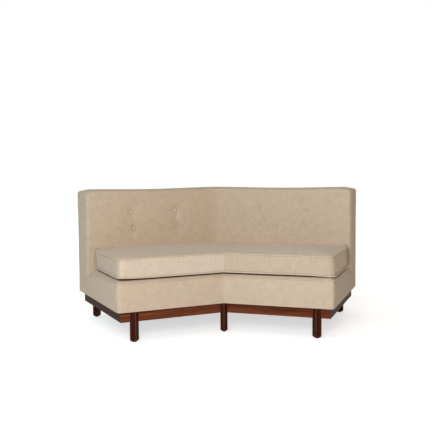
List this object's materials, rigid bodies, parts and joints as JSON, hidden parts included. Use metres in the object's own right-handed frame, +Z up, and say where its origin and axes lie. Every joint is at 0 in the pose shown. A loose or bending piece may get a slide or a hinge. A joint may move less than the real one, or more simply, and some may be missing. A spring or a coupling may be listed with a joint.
{
  "type": "sofa",
  "caption": "Armless sofa bent at the middle, with a tufted upright back, an upholstered seat box and a loose bent cushion, on a recessed wooden base with short legs.",
  "frame": {"origin": "on the floor, under the middle of the sofa's bounding box", "axes": "+X along the sofa towards the sitter's left, +Y towards the back, +Z up; the front faces -Y"},
  "size_m": [1.7008, 1.0714, 0.775],
  "materials": {
    "linen": "plain weave linen cloth, matte",
    "stained_wood": "dark red-brown stain, satin lacquer",
    "frame_wood": "sawn hardwood, unfinished",
    "spring_steel": "drawn wire, oiled",
    "screw_steel": "zinc plated",
    "cotton_felt": "felted cotton",
    "foam": "open cell foam",
    "dust_cloth": "black dust cloth",
    "jute": "woven jute"
  },
  "bodies": {
    "sofa_frame": {"back_bottom_rail_left": "frame_wood", "back_bottom_rail_right": "frame_wood", "back_buttons_left": "linen", "back_buttons_right": "linen", "back_centre_post": "frame_wood", "back_cover_left": "linen", "back_cover_right": "linen", "back_pad_left": "linen", "back_pad_right": "linen", "back_post_left": "frame_wood", "back_post_right": "frame_wood", "back_tacking_rail_left": "frame_wood", "back_tacking_rail_right": "frame_wood", "back_top_rail_left": "frame_wood", "back_top_rail_right": "frame_wood", "back_webbing_left": "jute", "back_webbing_right": "jute", "base_back_rail_left": "stained_wood", "base_back_rail_right": "stained_wood", "base_centre_rail": "stained_wood", "base_corner_blocks": "frame_wood", "base_end_rail_left": "stained_wood", "base_end_rail_right": "stained_wood", "base_front_rail_left": "stained_wood", "base_front_rail_right": "stained_wood", "base_screws": "screw_steel", "deck_pad_left": "cotton_felt", "deck_pad_right": "cotton_felt", "dust_cover_left": "dust_cloth", "dust_cover_right": "dust_cloth", "leg_back_centre": "stained_wood", "leg_back_left": "stained_wood", "leg_back_right": "stained_wood", "leg_front_centre": "stained_wood", "leg_front_left": "stained_wood", "leg_front_right": "stained_wood", "leg_screws": "screw_steel", "seat_back_rail_left": "frame_wood", "seat_back_rail_right": "frame_wood", "seat_centre_rail": "frame_wood", "seat_corner_blocks": "frame_wood", "seat_cover_left": "linen", "seat_cover_right": "linen", "seat_end_rail_left": "frame_wood", "seat_end_rail_right": "frame_wood", "seat_front_rail_left": "frame_wood", "seat_front_rail_right": "frame_wood", "seat_springs_left": "spring_steel", "seat_springs_right": "spring_steel", "spring_clips_left": "spring_steel", "spring_clips_right": "spring_steel", "tufting_twine": "jute"},
    "seat_cushion": {"cushion_core": "foam", "cushion_cover_left": "linen", "cushion_cover_right": "linen"}
  },
  "joints": [
    {"name": "cushion_lift", "type": "slide", "parent": "sofa_frame", "child": "seat_cushion", "axis": [0, 0, 1], "range_m": [0, 0.45]}
  ]
}
